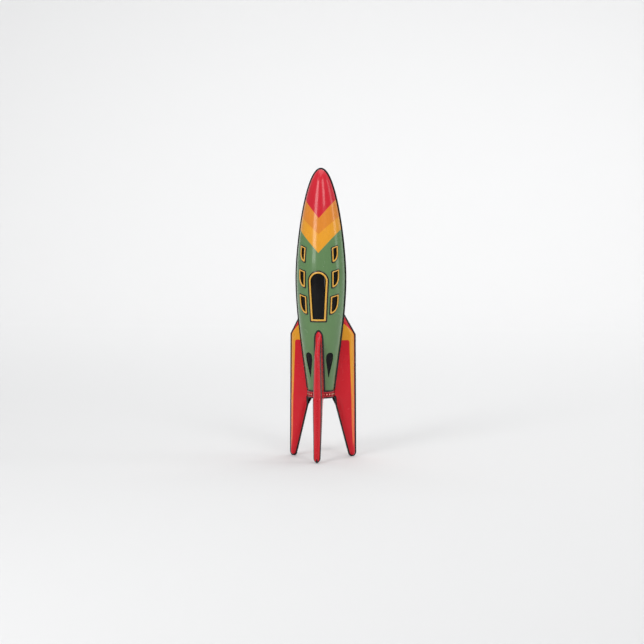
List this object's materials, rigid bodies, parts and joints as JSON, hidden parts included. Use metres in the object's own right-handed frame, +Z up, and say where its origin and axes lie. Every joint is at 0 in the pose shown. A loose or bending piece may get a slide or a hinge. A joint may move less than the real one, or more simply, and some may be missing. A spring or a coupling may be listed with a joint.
{
  "type": "friction-drive tin toy rocket",
  "caption": "Printed tinplate toy rocket that stands on three pressed fins and rolls on belly wheels driven through a gear train and flywheel.",
  "frame": {"origin": "on the ground, at the centre of the bounding box's base; the hull's axis is 5 mm towards +Y from it", "axes": "+Z up along the hull's axis to the nose, -Y the front with the hatch and the front fin, +Y the belly with the wheels, +X to the viewer's right when the hatch faces them"},
  "size_m": [0.0698, 0.07, 0.3],
  "materials": {
    "green_tin": "printed and varnished tinplate, gloss",
    "red_tin": "printed and varnished tinplate, gloss",
    "yellow_tin": "printed and varnished tinplate, gloss",
    "black_pane": "black lacquered tinplate, high gloss",
    "bare_steel": "bright tin-plated steel",
    "brass": "stamped brass, satin",
    "lead": "cast grey metal, dull",
    "rubber": "moulded black rubber, matt"
  },
  "bodies": {
    "rocket": {"hull_front": "green_tin", "hull_back": "green_tin", "tail_band": "red_tin", "tail_plate": "bare_steel", "hatch_frame": "yellow_tin", "hatch_pane": "black_pane", "upper_left_porthole_frame": "yellow_tin", "upper_left_porthole_pane": "black_pane", "upper_right_porthole_frame": "yellow_tin", "upper_right_porthole_pane": "black_pane", "middle_left_porthole_frame": "yellow_tin", "middle_left_porthole_pane": "black_pane", "middle_right_porthole_frame": "yellow_tin", "middle_right_porthole_pane": "black_pane", "lower_left_porthole_frame": "yellow_tin", "lower_left_porthole_pane": "black_pane", "lower_right_porthole_frame": "yellow_tin", "lower_right_porthole_pane": "black_pane", "left_vent_screen": "black_pane", "right_vent_screen": "black_pane", "front_fin_left_skin": "red_tin", "front_fin_right_skin": "red_tin", "rear_right_fin_left_skin": "red_tin", "rear_right_fin_right_skin": "red_tin", "rear_left_fin_left_skin": "red_tin", "rear_left_fin_right_skin": "red_tin", "left_motor_plate": "bare_steel", "right_motor_plate": "bare_steel", "lower_bulkhead": "bare_steel", "upper_bulkhead": "bare_steel", "lower_front_pillar": "bare_steel", "lower_back_pillar": "bare_steel", "upper_front_pillar": "bare_steel", "upper_back_pillar": "bare_steel", "nose_fork": "bare_steel"},
    "drive": {"drive_axle": "bare_steel", "drive_gear": "brass", "left_hub": "red_tin", "left_tyre": "rubber", "right_hub": "red_tin", "right_tyre": "rubber"},
    "middle": {"middle_shaft": "bare_steel", "middle_pinion": "bare_steel", "middle_gear": "brass"},
    "flywheel": {"flywheel_shaft": "bare_steel", "flywheel_pinion": "bare_steel", "flywheel": "lead"},
    "nose_wheel": {"nose_axle": "bare_steel", "nose_hub": "red_tin", "nose_tyre": "rubber"}
  },
  "joints": [
    {"name": "flywheel_spin", "type": "hinge", "parent": "rocket", "child": "flywheel", "pos_m": [0, 0.00491, 0.13534], "axis": [1, 0, 0], "continuous": true},
    {"name": "middle_spin", "type": "hinge", "parent": "rocket", "child": "middle", "pos_m": [0, 0.01, 0.12442], "axis": [1, 0, 0], "continuous": true},
    {"name": "drive_spin", "type": "hinge", "parent": "rocket", "child": "drive", "pos_m": [0, 0.0195, 0.117], "axis": [1, 0, 0], "continuous": true},
    {"name": "nose_wheel_spin", "type": "hinge", "parent": "rocket", "child": "nose_wheel", "pos_m": [0, 0.023, 0.222], "axis": [1, 0, 0], "continuous": true}
  ],
  "couplings": [
    {"joint": "middle_spin", "follows": "flywheel_spin", "ratio": -0.33333},
    {"joint": "drive_spin", "follows": "flywheel_spin", "ratio": 0.11111}
  ]
}
